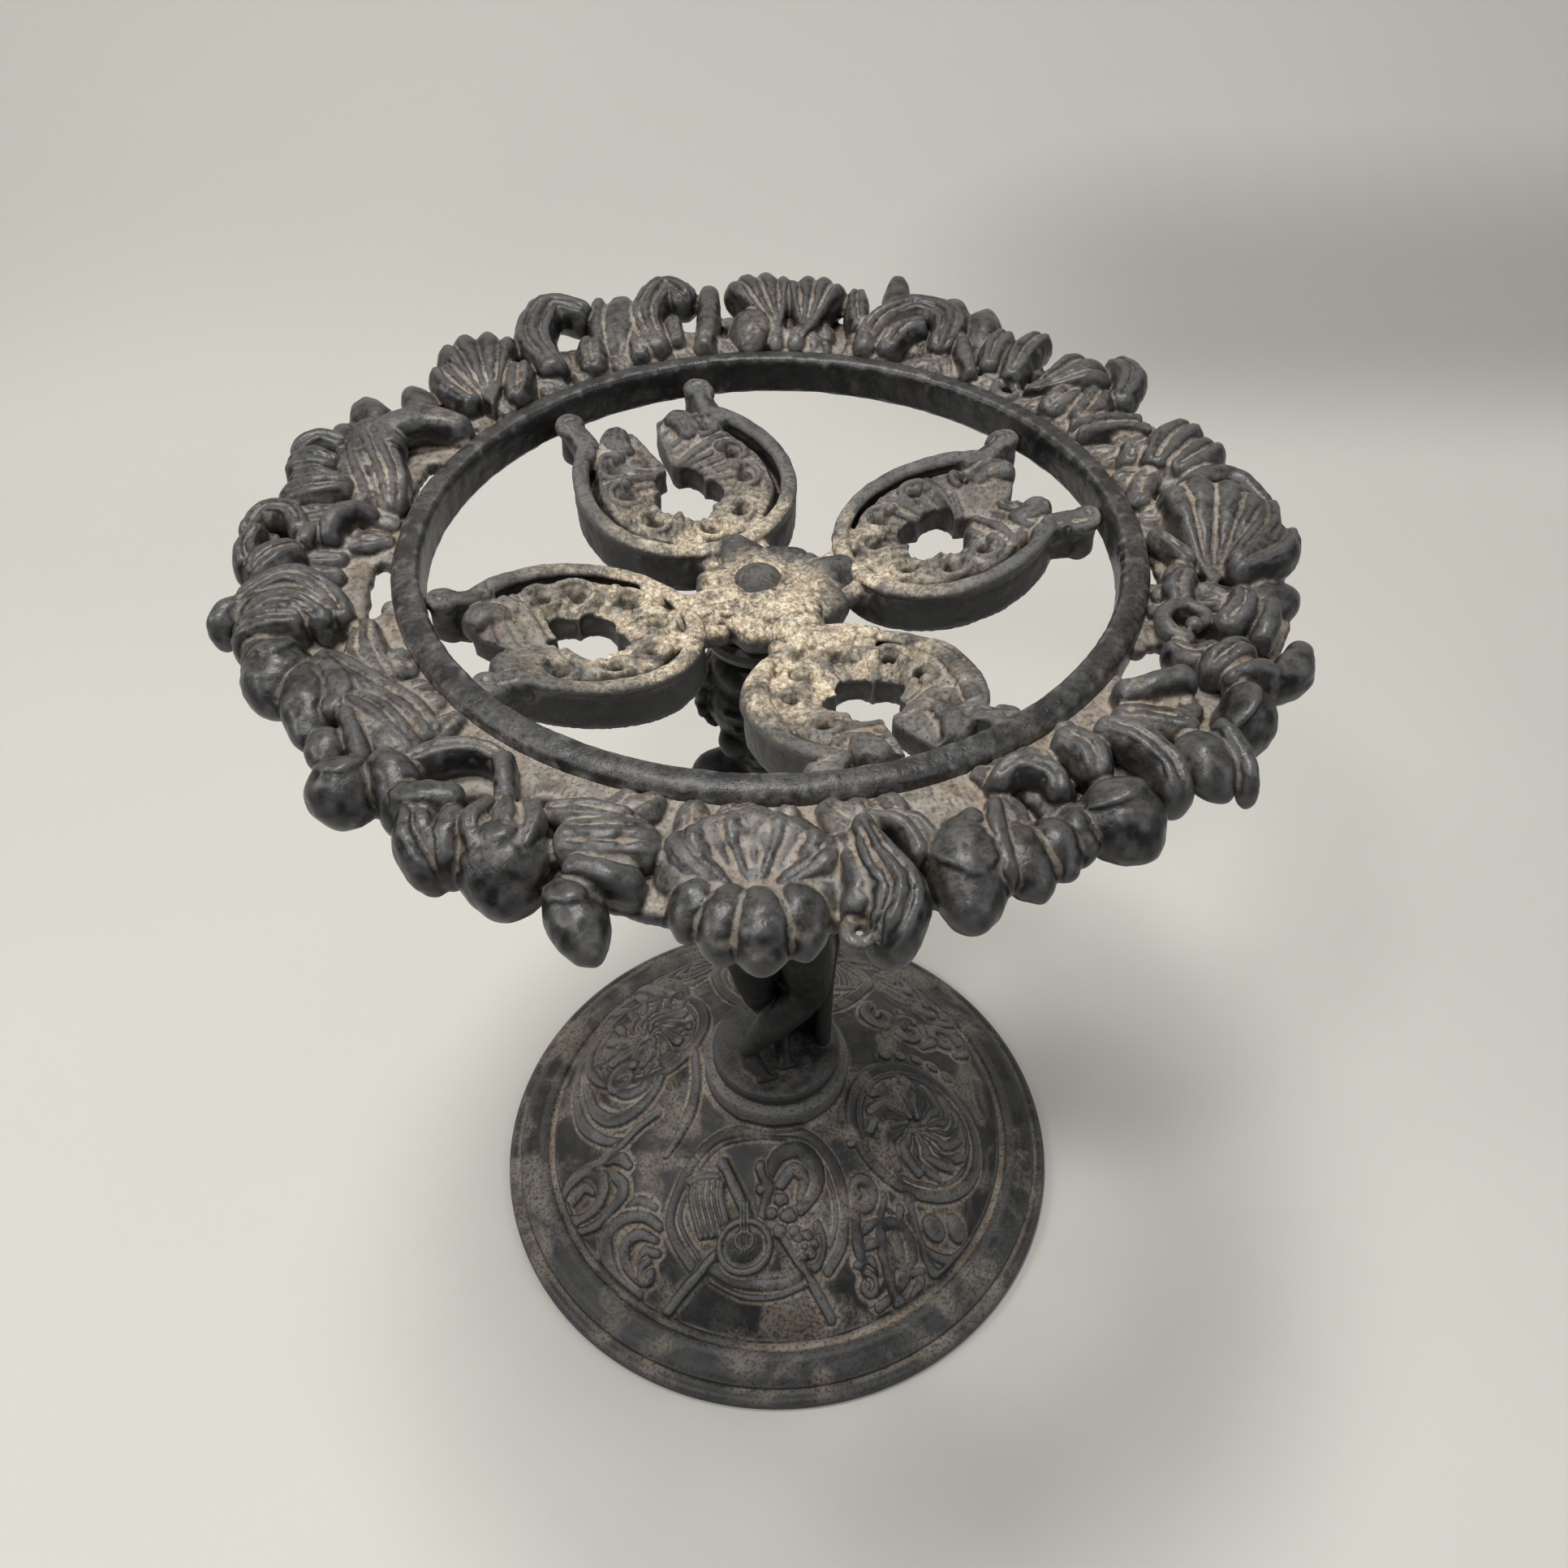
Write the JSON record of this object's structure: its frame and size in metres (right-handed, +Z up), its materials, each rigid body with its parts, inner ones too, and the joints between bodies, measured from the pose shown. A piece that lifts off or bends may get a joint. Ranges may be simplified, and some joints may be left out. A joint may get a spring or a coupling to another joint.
{
  "type": "wash basin stand",
  "caption": "Cast iron wash basin stand with an openwork leaf border, a standing child as its stem and a round relief foot.",
  "frame": {"origin": "on the floor under the axis of the foot, figure and hoop", "axes": "+Z up the axis; -Y is the front, towards which the child faces; +X is the viewer's right seen from the front"},
  "size_m": [0.2698, 0.274, 0.3005],
  "materials": {
    "cast_iron": "worn black finish with pale dust in the recesses",
    "dusty_iron": "dull brown-black, grainy and dusty",
    "worn_iron": "black finish worn to pale dust, with light rust",
    "fastener_iron": "plain dark iron"
  },
  "bodies": {
    "root": {"foot_casting": "dusty_iron", "foot_washer": "fastener_iron", "foot_bolt": "fastener_iron", "figure_plinth": "cast_iron", "figure_body": "cast_iron", "figure_pad": "cast_iron", "tray_hub": "worn_iron", "tray_scroll_right": "worn_iron", "tray_scroll_back": "worn_iron", "tray_scroll_left": "worn_iron", "tray_scroll_front": "worn_iron", "tray_hoop": "cast_iron", "tray_garland": "cast_iron", "hub_screw": "fastener_iron"}
  },
  "joints": []
}
